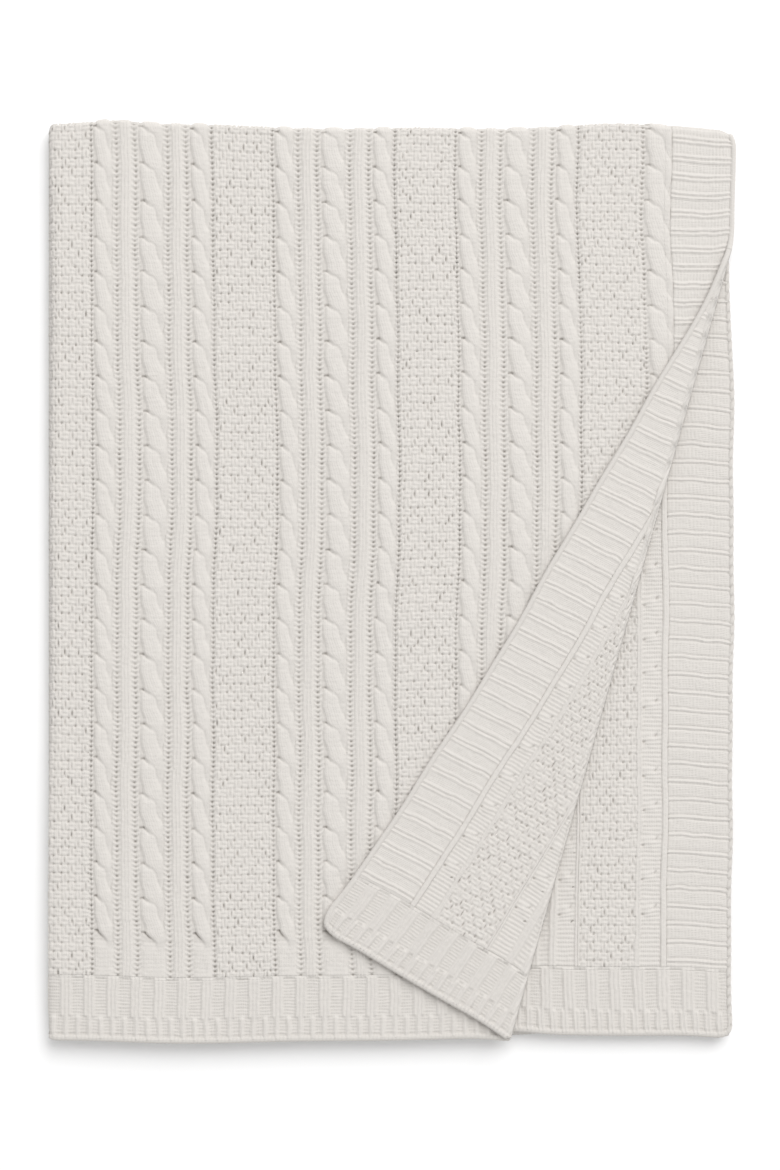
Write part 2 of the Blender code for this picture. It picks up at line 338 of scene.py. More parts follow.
def relief(leaf, x, y, wrong):
    """How far the knitting lies below its highest level (a negative number) at a place on a leaf,
    the place across its stitches, and 1 where its stitches change over, 0 elsewhere."""
    x, y = x + 0.55 * MM * uneven(x, y, 9 * MM), y + 0.7 * MM * uneven(x, y + 1, 11 * MM)
    u = x - LEFT
    w = FREE_SIDE[leaf] - x
    v = y - FREE_END[leaf]
    to_fold = unrolled_top(leaf) - FREE_END[leaf]
    period = (to_fold - FIRST_CROSSING) / CROSSINGS_TO_FOLD
    ladder_row, basket_rows = period / LADDER_ROWS, period / BASKET_ROWS
    group = np.clip(np.round((u - FIRST_GROUP) / GROUP_PITCH), 0, GROUPS - 1)
    from_middle = u - FIRST_GROUP - group * GROUP_PITCH
    out = np.abs(from_middle)
    small_x = np.sign(from_middle) * (out - SMALL_MIDDLE)
    level = basket(u - FIRST_GROUP + GROUP_HALF, v - END_BAND, basket_rows, wrong)
    across = u.copy()
    change = np.maximum(bump(w - SIDE_BAND, 2 * MM), bump(v - END_BAND, 2 * MM) * (w < SIDE_BAND))

    def fill(mask, values, place=u):
        level[mask] = values[mask]
        across[mask] = place[mask]

    def fill_cable(mask, x, half):
        hand = 1 if RIGHT_SIDE_UP[leaf] else -1
        if wrong:
            fill(mask, cable_back(hand * x, v, half, period))
        else:
            values, shift, crossing = cable(hand * x, v, half, period)
            fill(mask, values, u + hand * shift)
            change[mask] = np.maximum(change, crossing)[mask]

    ladders = ladder_back if wrong else ladder
    rib_kind = rib_back if wrong else rib
    inner_middle = LARGE_CABLE_HALF + INNER_LADDER / 2
    outer_middle = RIB_MIDDLE + RIB_WIDTH / 2 + OUTER_LADDER / 2
    edge_middle = SMALL_MIDDLE + SMALL_CABLE_HALF + EDGE_LADDER / 2
    fill(out < GROUP_HALF, ladders(out - edge_middle, v, EDGE_LADDER / 2 + 1 * MM, ladder_row))
    fill_cable(out < SMALL_MIDDLE + SMALL_CABLE_HALF, small_x, SMALL_CABLE_HALF)
    outer_end = SMALL_MIDDLE - SMALL_CABLE_HALF
    change[out < outer_end] = 0
    fill(out < outer_end, ladders(out - outer_middle, v, OUTER_LADDER / 2, ladder_row))
    fill(out < RIB_MIDDLE + RIB_WIDTH / 2, rib_kind(out - RIB_MIDDLE, v, ladder_row))
    inner_end = RIB_MIDDLE - RIB_WIDTH / 2
    fill(out < inner_end, ladders(out - inner_middle, v, INNER_LADDER / 2, ladder_row))
    fill_cable(out < LARGE_CABLE_HALF, from_middle, LARGE_CABLE_HALF)
    side_ladder = SIDE_CABLE_END - EDGE_LADDER / 2
    fill(w < SIDE_CABLE_END, ladders(w - side_ladder, v, EDGE_LADDER / 2 + 1 * MM, ladder_row))
    if wrong:
        fill_cable(w < SIDE_CABLE_END - EDGE_LADDER, SIDE_CABLE_MIDDLE - w, SMALL_CABLE_HALF)
        fill(w < SIDE_BAND + SIDE_SEAM, side_seam(w, v))
    else:
        half = SMALL_CABLE_HALF + SIDE_SEAM / 2
        fill_cable(w < SIDE_BAND + 2 * half, SIDE_BAND + half - w, half)
    pitch = (to_fold - END_BAND) / SIDE_RIBS_TO_FOLD
    fill(w < SIDE_BAND, side_band(w, v - END_BAND, pitch, wrong, leaf == "top"), v)
    band = end_band(u, v, wrong)
    linked = np.abs(v - END_BAND - END_SEAM / 2) < END_SEAM
    joined = end_seam(u, v, band, level)
    fill(v < END_BAND, band)
    fill(linked, joined, across.copy())
    rough = 0.16 * uneven(x, y, 2.3 * MM) + 0.12 * uneven(x, y, 7 * MM)
    return level + rough * MM, across, change


# ---------------------------------------------------------------- how the cloth lies
FREE_CORNER_ROUNDING = {"bottom": 17 * MM, "third": 17 * MM, "second": 17 * MM, "top": 28 * MM}
TOP_LEFT_ROUNDING = 10 * MM
TOP_RIGHT_ROUNDING = 20 * MM
BOTTOM_LEFT_ROUNDING = 9 * MM
FREE_SIDE_SPREAD = 3.8 * MM  # how far the free side stands out beyond its straight line
FREE_SIDE_DROOP = 2.2 * MM  # how far it slips towards the free end
SECOND_LEAF_DROOP = 4.5 * MM  # how far the second leaf's end slips down
CORNER_BOW = 14.2 * MM
CREASE_CALM = 24 * MM  # beside the crease the cloth lies straight


def unrolled_top(leaf):
    return TOP - TOP_RADIUS[leaf] * (1 - math.pi / 2)


def unrolled_left(leaf):
    return LEFT + FOLD_RADIUS * (1 - math.pi / 2) if leaf in OUTER_LEAVES else LEFT


def from_crease(x, y):
    return (x - CREASE_AT.x) * CREASE_OUT.x + (y - CREASE_AT.y) * CREASE_OUT.y


def settle(x, y):
    """0 on the crease and 1 well away from it, so that the cloth meets its crease exactly."""
    return 1 - bump(from_crease(x, y), CREASE_CALM)


def rounded_corner(x, y, corner_x, corner_y, radius):
    """Draws the points near a square corner in, to a round one."""
    inner_x = corner_x - math.copysign(radius, corner_x)
    inner_y = corner_y - math.copysign(radius, corner_y)
    a = (x - inner_x) / (corner_x - inner_x)
    b = (y - inner_y) / (corner_y - inner_y)
    near = (a > 0) & (b > 0)
    a2, b2 = np.clip(a, 0, 1.15), np.clip(b, 0, 1.15)
    new_x = np.where(near, inner_x + (corner_x - inner_x) * a2 * np.sqrt(1 - b2 * b2 / 2), x)
    new_y = np.where(near, inner_y + (corner_y - inner_y) * b2 * np.sqrt(1 - a2 * a2 / 2), y)
    return new_x, new_y


def lay(leaf, x, y):
    """The gentle wander of columns and edges in a throw that was folded by hand."""
    seed = LEAVES.index(leaf)
    side, end = FREE_SIDE[leaf], FREE_END[leaf]
    x, y = rounded_corner(x, y, side, end, FREE_CORNER_ROUNDING[leaf])
    x, y = rounded_corner(x, y, LEFT, TOP, TOP_LEFT_ROUNDING)
    x, y = rounded_corner(x, y, side, TOP, TOP_RIGHT_ROUNDING)
    x, y = rounded_corner(x, y, LEFT, end, BOTTOM_LEFT_ROUNDING)
    near_left = 1 - ease(x - LEFT, 0, 90 * MM)
    near_top = 1 - ease(TOP - y, 0, 110 * MM)
    own = 1 - np.maximum(near_left, near_top)
    dx = 1.5 * np.sin(9.5 * y + 0.6) + 0.7 * np.sin(27 * y + 6 * x) + 0.4 * np.sin(61 * y + 11 * x)
    dx = dx + 0.9 * own * np.sin(15 * y + 1.9 * seed)
    dy = 1.2 * np.sin(11 * x + 0.4) + 0.6 * np.sin(31 * x + 4 * y)
    dy = dy + 0.7 * own * np.sin(13 * x + 2.3 * seed)

    # the top fold isn't quite straight, and the free side and end have slipped a little
    slope = 4.4 - 9.5 * ease(x, -0.26, 0.30) + 3.6 * bump(x + 0.262, 0.028)
    slope = near_top * (slope - 2.5 * bump(x + 0.045, 0.07) + 7.6 * bump(x - 0.235, 0.085))
    spread = FREE_SIDE_SPREAD * ease(x, side - 100 * MM, side)
    droop = FREE_SIDE_DROOP * (1 - near_top) * ease(x, side - 55 * MM, side)
    if leaf == "second":
        droop = droop + SECOND_LEAF_DROOP * (1 - ease(y - end, 0, 100 * MM))
    free = settle(x, y)
    if leaf == "top":
        x = x - corner_bow(x, y)
    new_x = x + (dx * (1 - near_left) * MM + spread) * free
    new_y = y + ((dy + slope) * MM - droop) * free
    return new_x, new_y


def corner_bow(x, y):
    """How far the free side of the turned back corner curves in towards the crease."""
    share = (CREASE_AT.y - y) / (CREASE_AT.y - FREE_END["top"])
    bowed = 1 - np.clip(2 * share - 1, -1, 1) ** 4
    near_side = 1 - ease(FREE_SIDE["top"] - x, 0, 150 * MM)
    s = from_crease(x, y)
    return CORNER_BOW * bowed * near_side * np.where(s > 0, 1 - bump(s, 9 * MM), 0)


def swell(x, y):
    """The slow rise and fall of the top of the stack."""
    rise = 0.55 * np.sin(14 * x + 5 * y + 0.5) + 0.45 * np.sin(-8 * x + 17 * y + 1.1)
    rise = rise + 0.3 * np.sin(33 * x + 2.0) * np.sin(23 * y + 0.4)
    return 0.9 * MM * rise * settle(x, y) * ease(x - LEFT, 0, 60 * MM)


def fold_bulge(y):
    """How far the soft outer rolls stand out beyond the left fold."""
    lower, upper = 3.0 * ease(-y, -0.05, 0.38), 0.9 * ease(y, 0.3, 0.42)
    return (0.6 + lower + upper + 0.5 * np.sin(17 * y)) * MM


def leaf_point(leaf, p, q, level, wrong):
    """The place of a point of a leaf. p and q run across and along the unrolled leaf, in the
    frame's own X and Y where it is flat, and level is the relief, zero or less."""
    low, high = LEAF_LOW[leaf], LEAF_HIGH[leaf]
    faces_up = RIGHT_SIDE_UP[leaf] != wrong
    radius, top_radius = FOLD_RADIUS, TOP_RADIUS[leaf]
    roll_x, roll_y = LEFT + radius, TOP - top_radius
    if wrong:
        x, y = np.maximum(p, LEFT + 0.3 * radius), np.minimum(q, roll_y)
        drop = np.zeros_like(x)
        upright = 1.0
    else:
        outer = leaf in OUTER_LEAVES
        theta = np.clip((roll_x - p) / radius, 0, math.pi / 2) if outer else np.zeros_like(p)
        phi = np.clip((q - roll_y) / top_radius, 0, math.pi / 2)
        bulge = fold_bulge(q) * np.sin(2 * theta) ** 2
        x = np.where(theta > 0, roll_x - (radius + level) * np.sin(theta) - bulge, p)
        y = np.where(phi > 0, roll_y + (top_radius + level) * np.sin(phi), q)
        drop = radius * (1 - np.cos(theta)) + top_radius * (1 - np.cos(phi))
        upright = np.cos(theta) * np.cos(phi)
    x, y = lay(leaf, x, y)
    z = high - drop + level * upright if faces_up else low + drop - level * upright
    z = z + swell(x, y) * z / STACK_HEIGHT
    return np.stack([x, y, z], axis=-1)


def crease_point(s, r, level, wrong, sign):
    """A point of the rolled strip at the crease, where s is the distance from it and r runs along
    it. sign is -1 for the half on the leaf and 1 for the half on the corner, still laid flat."""
    radius = LEAF_THICKNESS
    height = LEAF_HIGH["top"]
    turn = np.clip((radius - np.abs(s)) / radius, 0, 1) * math.pi / 2
    if wrong:
        away = np.where(np.abs(s) > radius, np.abs(s), radius - (radius + level) * np.sin(turn))
        z = height - (radius + level) * np.cos(turn)
    else:
        away = np.abs(s)
        z = height + level * np.cos(turn)
    x = CREASE_AT.x + sign * away * CREASE_OUT.x + r * CREASE_RUN.x
    y = CREASE_AT.y + sign * away * CREASE_OUT.y + r * CREASE_RUN.y
    return np.stack([x, y, z], axis=-1)


# ---------------------------------------------------------------- meshes from grids
def new_object(name, points, faces, smooth, uv, fabric, depth):
    """A mesh from arrays. faces is a list of (n, 3) or (n, 4) arrays of corners; smooth, uv and
    the rest go with them: uv has a pair for each corner, fabric and depth one for each point."""
    mesh = bpy.data.meshes.new(name)
    corners = np.concatenate([f.ravel() for f in faces]).astype(np.int32)
    sizes = np.concatenate([np.full(len(f), f.shape[1]) for f in faces]).astype(np.int32)
    mesh.vertices.add(len(points))
    mesh.vertices.foreach_set("co", points.astype(np.float32).ravel())
    mesh.loops.add(len(corners))
    mesh.loops.foreach_set("vertex_index", corners)
    mesh.polygons.add(len(sizes))
    starts = np.concatenate([[0], np.cumsum(sizes)[:-1]]).astype(np.int32)
    mesh.polygons.foreach_set("loop_start", starts)
    mesh.polygons.foreach_set("use_smooth", np.concatenate(smooth))
    layer = mesh.uv_layers.new(name="OFBake")
    layer.uv.foreach_set("vector", np.concatenate(uv).astype(np.float32).ravel())
    place = mesh.attributes.new("fabric", "FLOAT_VECTOR", "POINT")
    place.data.foreach_set("vector", fabric.astype(np.float32).ravel())
    # The depth of each point goes to the material, which paints shade into the colour of deep places.
    sunk = mesh.attributes.new("sunk", "FLOAT", "POINT")
    sunk.data.foreach_set("value", depth.astype(np.float32))
    mesh.update(calc_edges=True)
    piece = bpy.data.objects.new("knitted_" + name, mesh)
    bpy.context.scene.collection.objects.link(piece)
    return piece


def grid_faces(columns, rows, first, flip):
    """The quads of a grid of points, numbered along its second direction."""
    i, j = np.meshgrid(np.arange(columns - 1), np.arange(rows - 1), indexing="ij")
    i, j = i.ravel(), j.ravel()
    order = [(0, 0), (0, 1), (1, 1), (1, 0)] if flip else [(0, 0), (1, 0), (1, 1), (0, 1)]
    return np.stack([first + (i + di) * rows + (j + dj) for di, dj in order], axis=1)


def rim_faces(fine, coarse, step, flip):
    """Triangles between a finely and a coarsely spaced line of points."""
    half = step // 2
    segments = np.arange(len(coarse) - 1)
    start = segments * step
    found = [np.stack([fine[start + half], coarse[segments + 1], coarse[segments]], axis=1)]
    for i in range(step):
        tip = coarse[segments] if i < half else coarse[segments + 1]
        found.append(np.stack([fine[start + i], fine[start + i + 1], tip], axis=1))
    faces = np.concatenate(found)
    return faces[:, ::-1] if flip else faces


# Shares of the bake's map, which is a unit square
MAP_EDGE = 0.01
CAP_MAP = 0.982  # above this is for cut ends
MAP_TALL = CAP_MAP - 2 * MAP_EDGE  # what is left for the faces
ROPE_MAP = 0.9  # of a rope's map, how much its round face takes


def shell(name, front_face, back_face, p_ends, q_ends, spacing, back_step, front_up):
    """A closed piece between two faces over a grid. Each face is a function that gives the
    points, the relief, the place across the stitches and where they change over. The back has one
    point in back_step."""

    def count(length):
        return max(1, math.ceil(length / spacing / back_step)) * back_step + 1

    (p_low, p_high), (q_low, q_high) = p_ends, q_ends
    columns, rows = count(p_high - p_low), count(q_high - q_low)
    grid_p, grid_q = np.meshgrid(
        np.linspace(p_low, p_high, columns), np.linspace(q_low, q_high, rows), indexing="ij"
    )
    back_p, back_q = grid_p[::back_step, ::back_step], grid_q[::back_step, ::back_step]
    front, level, across, change = front_face(grid_p, grid_q)
    back, back_level, back_across, back_change = back_face(back_p, back_q)
    points = np.concatenate([front.reshape(-1, 3), back.reshape(-1, 3)])

    first_back = columns * rows
    back_columns, back_rows = back_p.shape
    front_faces = grid_faces(columns, rows, 0, not front_up)
    back_faces = grid_faces(back_columns, back_rows, first_back, front_up)
    fine = np.arange(columns * rows).reshape(columns, rows)
    coarse = first_back + np.arange(back_columns * back_rows).reshape(back_columns, back_rows)
    rims = [
        rim_faces(fine[:, 0], coarse[:, 0], back_step, front_up),
        rim_faces(fine[:, -1], coarse[:, -1], back_step, not front_up),
        rim_faces(fine[0, :], coarse[0, :], back_step, not front_up),
        rim_faces(fine[-1, :], coarse[-1, :], back_step, front_up),
    ]
    faces = [front_faces, back_faces, *rims]
    smooth = [np.ones(len(front_faces), bool), np.ones(len(back_faces), bool)]
    smooth += [np.zeros(len(rim), bool) for rim in rims]

    # in the bake's map the rim goes round the back, which has the smaller share if it is coarse
    share = 0.5 if back_step == 1 else 0.8
    s = np.concatenate([grid_p.ravel() - p_low, back_p.ravel() - p_low]) / (p_high - p_low)
    t = np.concatenate([grid_q.ravel() - q_low, back_q.ravel() - q_low]) / (q_high - q_low)
    map_t = MAP_EDGE + MAP_TALL * t
    front_map = np.stack([MAP_EDGE + (share - 2 * MAP_EDGE) * s, map_t], axis=1)
    rim_width = np.where(np.arange(len(points)) >= first_back, 0.0, 0.5 * MAP_EDGE)
    back_map = np.stack([share + MAP_EDGE + (1 - share - 2 * MAP_EDGE) * s, map_t], axis=1)
    back_map[:, 0] += rim_width * np.sign(s - 0.5) * (np.abs(s - 0.5) > 0.4999)
    back_map[:, 1] += rim_width * np.sign(t - 0.5) * (np.abs(t - 0.5) > 0.4999)
    uv = [front_map[front_faces.ravel()], back_map[back_faces.ravel()]]
    uv += [back_map[rim.ravel()] for rim in rims]

    fabric = np.concatenate(
        [
            np.stack([across, grid_q, change * MM], axis=-1).reshape(-1, 3),
            np.stack([back_across, back_q, back_change * MM], axis=-1).reshape(-1, 3),
        ]
    )
    depth = -np.concatenate([level.ravel(), back_level.ravel()])
    return new_object(name, points, faces, smooth, uv, fabric / MM, depth / MM)


PLAIN_LEVEL = -0.8 * MM  # a face between two leaves, where no relief is to be seen
CREASE_DEEPEST = -3.0 * MM


def leaf_face(leaf, wrong, plain=False):
    """One face of a leaf, as a function for shell."""

    def face(p, q):
        if plain:
            level, across, change = np.full_like(p, PLAIN_LEVEL), p, np.zeros_like(p)
        else:
            level, across, change = relief(leaf, p, q, wrong)
        return leaf_point(leaf, p, q, level, wrong), level, across, change

    return face


def crease_face(wrong, sign):
    """One side of the rolled strip. It runs from one free edge of the top leaf to the other."""

    def face(s, t):
        x_room = (RIGHT - CHAIN_WIDTH / 2 - CREASE_AT.x - s * CREASE_OUT.x) / CREASE_RUN.x
        y_room = (BOTTOM + BIND_OFF / 2 - CREASE_AT.y - s * CREASE_OUT.y) / CREASE_RUN.y
        r = y_room + (x_room - y_room) * t
        x = CREASE_AT.x + s * CREASE_OUT.x + r * CREASE_RUN.x
        y = CREASE_AT.y + s * CREASE_OUT.y + r * CREASE_RUN.y
        level, across, change = relief("top", x, y, wrong)
        level = np.maximum(level, CREASE_DEEPEST)
        sinking = ease(np.abs(s), LEAF_THICKNESS, CREASE_REACH)
        return crease_point(s, r, level - 0.5 * MM * sinking, wrong, sign), level, across, change

    return face


def cut_at_crease(piece, keep_corner):
    """Trims a piece of the top leaf where its creased strip begins."""
    side = 1 if keep_corner else -1
    work = bmesh.new()
    work.from_mesh(piece.data)
    cut = bmesh.ops.bisect_plane(
        work,
        geom=work.verts[:] + work.edges[:] + work.faces[:],
        plane_co=CREASE_AT + CREASE_OUT * side * LEAF_THICKNESS,
        plane_no=CREASE_OUT * -side,
        clear_outer=True,
    )
    edges = [e for e in cut["geom_cut"] if isinstance(e, bmesh.types.BMEdge) and e.is_boundary]
    if edges:
        caps = bmesh.ops.edgeloop_fill(work, edges=edges)["faces"]
        along = [v.co.dot(CREASE_RUN) for face in caps for v in face.verts]
        heights = [v.co.z for face in caps for v in face.verts]
        caps = bmesh.ops.triangulate(work, faces=caps)["faces"]
        layer = work.loops.layers.uv["OFBake"]
        long, tall = max(along) - min(along), max(heights) - min(heights)
        for face in caps:
            face.smooth = False
            for loop in face.loops:
                a = (loop.vert.co.dot(CREASE_RUN) - min(along)) / long
                b = (loop.vert.co.z - min(heights)) / tall
                loop[layer].uv = (MAP_EDGE + (1 - 2 * MAP_EDGE) * a, CAP_MAP + 0.004 + 0.01 * b)
    work.to_mesh(piece.data)
    work.free()
    return piece


ROPE_SIDES = 16
ROPE_SHADE = 1.6  # painted shade on the edges: how sunk the yarn counts as, in mm
GROOVE_SHADE = 6.5  # and how much more painted shade in their grooves


def turn_into_crease(points, sign):
    """Moves points in the middle of the top leaf's thickness round its creased strip. sign is -1
    on the leaf and 1 on the corner."""
    s = sign * np.maximum(sign * from_crease(points[:, 0], points[:, 1]), 0)
    turn = np.clip(1 - np.abs(s) / LEAF_THICKNESS, 0, 1) * math.pi / 2
    half = LEAF_THICKNESS / 2
    away = np.where(turn > 0, LEAF_THICKNESS - half * np.sin(turn), np.abs(s))
    moved = points + (sign * away - s)[:, None] * np.array([CREASE_OUT.x, CREASE_OUT.y, 0.0])
    moved[:, 2] += half * (1 - np.cos(turn))
    return moved


def rope(name, leaf, p, q, half_across, half_high, shape):
    """A closed round edge along a line of a leaf. shape gives its fullness, from 0 to 1, from the
    distance along it and the angle round it."""
    half = LEAF_THICKNESS / 2
    middle = leaf_point(leaf, p, q, np.full_like(p, -half), False)
    outside = leaf_point(leaf, p, q, np.zeros_like(p), False)
    if leaf == "top":
        sign = 1 if name.startswith("corner") else -1
        middle, outside = turn_into_crease(middle, sign), turn_into_crease(outside, sign)
    up = (outside - middle) / np.linalg.norm(outside - middle, axis=1)[:, None]
    along = np.gradient(middle, axis=0)
    distance = np.concatenate([[0], np.cumsum(np.linalg.norm(np.diff(middle, axis=0), axis=1))])
    aside = np.cross(along, up)
    aside /= np.linalg.norm(aside, axis=1)[:, None]
    angle = np.linspace(0, 2 * np.pi, ROPE_SIDES, endpoint=False)
    full = shape(distance[:, None], angle[None, :])
    ring_a, ring_b = half_across * full * np.cos(angle), half_high * full * np.sin(angle)
    points = middle[:, None] + ring_a[..., None] * aside[:, None] + ring_b[..., None] * up[:, None]
    count = len(p)
    i, j = np.meshgrid(np.arange(count - 1), np.arange(ROPE_SIDES), indexing="ij")
    i, j = i.ravel(), j.ravel()
    here, there, after = i * ROPE_SIDES, (i + 1) * ROPE_SIDES, (j + 1) % ROPE_SIDES
    quads = np.stack([here + j, there + j, there + after, here + after], axis=1)
    quad_t = np.stack([i, i + 1, i + 1, i], axis=1) / (count - 1)
    quad_s = np.stack([j, j, j + 1, j + 1], axis=1) / ROPE_SIDES
    ring = np.arange(ROPE_SIDES)
    caps = [ring[None, ::-1].copy(), (count - 1) * ROPE_SIDES + ring[None, :]]
    if np.linalg.det(np.stack([aside[0], up[0], along[0]])) > 0:
        quads, quad_t, quad_s = quads[:, ::-1], quad_t[:, ::-1], quad_s[:, ::-1]
        caps = [cap[:, ::-1].copy() for cap in caps]
    maps = [np.stack([MAP_EDGE + ROPE_MAP * quad_s.ravel(), MAP_EDGE + MAP_TALL * quad_t.ravel()], axis=1)]
    for k, cap in enumerate(caps):
        turn = 2 * np.pi * (cap.ravel() % ROPE_SIDES) / ROPE_SIDES
        maps.append(np.stack([0.96 + 0.02 * np.cos(turn), 0.1 + 0.1 * k + 0.02 * np.sin(turn)], axis=1))
    smooth = [np.ones(len(quads), bool), np.zeros(1, bool), np.zeros(1, bool)]
    flat = np.zeros(full.shape)
    fabric = np.stack(np.broadcast_arrays(half_across * angle[None, :], distance[:, None], flat), axis=-1)
    fabric = fabric.reshape(-1, 3) / MM
    # On the ropes the depth is made up as painted shade: some on the whole edge, more in the grooves
    # between strands.
    depth = ROPE_SHADE + GROOVE_SHADE * (1 - full)
    return new_object(name, points.reshape(-1, 3), [quads, *caps], smooth, maps, fabric, depth.ravel())


def twisted(distance, angle):
    """Two strands twisted together, as the chains along the free sides are."""
    turn = distance / (9.3 * MM) + angle / (2 * np.pi)
    groove = (0.5 + 0.5 * np.cos(2 * np.pi * turn)) ** 3
    return 0.97 - 0.22 * groove - 0.03 * np.cos(2 * np.pi * distance / (2.6 * MM))


def rolled(distance, angle):
    """A side that has rolled over: smooth, with its stitches just to be seen."""
    return 0.97 - 0.03 * np.cos(2 * np.pi * distance / (4.1 * MM) + 2 * np.cos(angle))


def bound_off(distance, angle):
    """The chain of slanted stitches along a bound off end."""
    turn = distance / (3.7 * MM) + 0.35 * np.abs(np.sin(angle / 2 + np.pi / 4))
    groove = (0.5 + 0.5 * np.cos(2 * np.pi * turn)) ** 2
    return 0.98 - 0.10 * groove


# ---------------------------------------------------------------- materials
def yarn_material(name, colour, painted_shade_colour):
    """Soft matt yarn: fine plies and fibres, with painted shade that darkens its colour where the knitting
    is sunk deep.
    """
    material = bpy.data.materials.new(name)
    material.use_nodes = True
    nodes, links = material.node_tree.nodes, material.node_tree.links
    shader = nodes["Principled BSDF"]
    shader.inputs["Roughness"].default_value = 0.88
    shader.inputs["Sheen Weight"].default_value = 0.25
    shader.inputs["Sheen Roughness"].default_value = 0.5
    shader.inputs["Specular IOR Level"].default_value = 0.2
    place = nodes.new("ShaderNodeAttribute")
    place.attribute_name = "fabric"
    sunk = nodes.new("ShaderNodeAttribute")
    sunk.attribute_name = "sunk"

    # painted shade: from 1.6 mm to 4.4 mm deep the colour is darkened more and more, as shade falls in the
    # pits
    hollow = nodes.new("ShaderNodeMapRange")
    hollow.interpolation_type = "SMOOTHSTEP"
    hollow.inputs["From Min"].default_value = 1.6
    hollow.inputs["From Max"].default_value = 4.4
    links.new(sunk.outputs["Fac"], hollow.inputs["Value"])

    mottle = nodes.new("ShaderNodeTexNoise")
    mottle.inputs["Scale"].default_value = 0.35
    mottle.inputs["Detail"].default_value = 5.0
    links.new(place.outputs["Vector"], mottle.inputs["Vector"])
    tint = nodes.new("ShaderNodeMix")
    tint.data_type = "RGBA"
    tint.inputs["A"].default_value = (*[c * 0.94 for c in colour], 1)
    tint.inputs["B"].default_value = (*[min(1, c * 1.06) for c in colour], 1)
    links.new(mottle.outputs["Fac"], tint.inputs["Factor"])
    # the mix that paints this shade into the base colour
    painted_shade_mix = nodes.new("ShaderNodeMix")
    painted_shade_mix.data_type = "RGBA"
    painted_shade_mix.inputs["B"].default_value = (*painted_shade_colour, 1)
    links.new(hollow.outputs["Result"], painted_shade_mix.inputs["Factor"])
    links.new(tint.outputs["Result"], painted_shade_mix.inputs["A"])
    links.new(painted_shade_mix.outputs["Result"], shader.inputs["Base Color"])

    # the two legs of each stitch, a ply's twist in them, and stray fibres
    axes = nodes.new("ShaderNodeSeparateXYZ")
    links.new(place.outputs["Vector"], axes.inputs["Vector"])

    def maths(operation, first, second=None, third=None):
        node = nodes.new("ShaderNodeMath")
        node.operation = operation
        for socket, value in zip(node.inputs, (first, second, third)):
            if isinstance(value, (int, float)):
                socket.default_value = value
            elif value is not None:
                links.new(value, socket)
        return node.outputs["Value"]

    leg_turn = maths("MULTIPLY", axes.outputs["X"], math.pi / (STITCH / MM / 2))
    leg = maths("ABSOLUTE", maths("SINE", leg_turn))
    side = maths("SIGN", maths("SINE", leg_turn))
    slant = maths("MULTIPLY", side, maths("MULTIPLY", leg, 1.1))
    fibre = nodes.new("ShaderNodeTexNoise")
    fibre.inputs["Scale"].default_value = 2.2
    fibre.inputs["Detail"].default_value = 4.0
    fibre.inputs["Roughness"].default_value = 0.7
    links.new(place.outputs["Vector"], fibre.inputs["Vector"])
    slant = maths("MULTIPLY_ADD", mottle.outputs["Fac"], 14.0, slant)
    twist = maths("SINE", maths("MULTIPLY_ADD", axes.outputs["Y"], 2 * math.pi / 2.05, slant))
    stitches = maths("MULTIPLY_ADD", twist, 0.12, maths("MULTIPLY", leg, 0.5))
    steady = maths("SUBTRACT", 1.0, maths("MINIMUM", maths("MULTIPLY", axes.outputs["Z"], 1.4), 1.0))
    height = maths("MULTIPLY_ADD", stitches, steady, fibre.outputs["Fac"])
    relief_node = nodes.new("ShaderNodeBump")
    relief_node.inputs["Strength"].default_value = 0.8
    relief_node.inputs["Distance"].default_value = 0.32 * MM
    links.new(height, relief_node.inputs["Height"])
    links.new(relief_node.outputs["Normal"], shader.inputs["Normal"])
    return material


CREAM = (0.68, 0.65, 0.614)
# The colour below is painted shade, which the yarn is darkened towards in its deep places.
PAINTED_SHADE = (0.40, 0.375, 0.345)
YARN = {
    "panel_yarn": yarn_material("panel_yarn", CREAM, PAINTED_SHADE),
    "band_yarn": yarn_material("band_yarn", tuple(0.99 * c for c in CREAM), PAINTED_SHADE),
    "edge_yarn": yarn_material("edge_yarn", tuple(0.98 * c for c in CREAM), PAINTED_SHADE),
    "seam_yarn": yarn_material("seam_yarn", tuple(0.995 * c for c in CREAM), PAINTED_SHADE),
}


# ---------------------------------------------------------------- the leaves
SLOT_OF = {
    "panel": "panel_yarn",
    "side_band": "band_yarn",
    "end_band": "band_yarn",
    "side_seam": "seam_yarn",
    "end_seam": "seam_yarn",
    "edge_chain": "edge_yarn",
    "bind_off": "edge_yarn",
    "crease": "panel_yarn",
}
CORNER_LEFT = LEFT + 0.40  # everything past the crease is to the right of this line
CREASE_REACH = LEAF_THICKNESS + 1.2 * MM
ROPE_STEP = 1.2 * MM


def leaf_regions(leaf):
    """Name, kind and limits of each flat piece of a leaf. The panel is cut in upright stretches,
    in the ladders between its columns."""
    end_out = FREE_END[leaf] + BIND_OFF / 2
    end_in = FREE_END[leaf] + END_BAND
    panel_low = end_in + END_SEAM
    side_out = FREE_SIDE[leaf] - CHAIN_WIDTH / 2
    side_in = FREE_SIDE[leaf] - SIDE_BAND
    panel_right = side_in - SIDE_SEAM
    high = unrolled_top(leaf)
    start = unrolled_left(leaf)
    limits, names = [start], ["basket_1"]
    for group in range(GROUPS):
        middle = LEFT + FIRST_GROUP + group * GROUP_PITCH
        limits += [middle - GROUP_HALF + EDGE_LADDER / 2, middle + GROUP_HALF - EDGE_LADDER / 2]
        names += [f"cables_{group + 1}", f"basket_{group + 2}"]
    limits.append(panel_right)
    found = [
        (f"panel_{name}", "panel", (limits[i], limits[i + 1]), (panel_low, high))
        for i, name in enumerate(names)
    ]
    found.append(("side_seam", "side_seam", (panel_right, side_in), (panel_low, high)))
    found.append(("side_band", "side_band", (side_in, side_out), (panel_low, high)))
    found.append(("end_seam", "end_seam", (start, side_out), (end_in, panel_low)))
    found.append(("end_band", "end_band", (start, side_out), (end_out, end_in)))
    return found


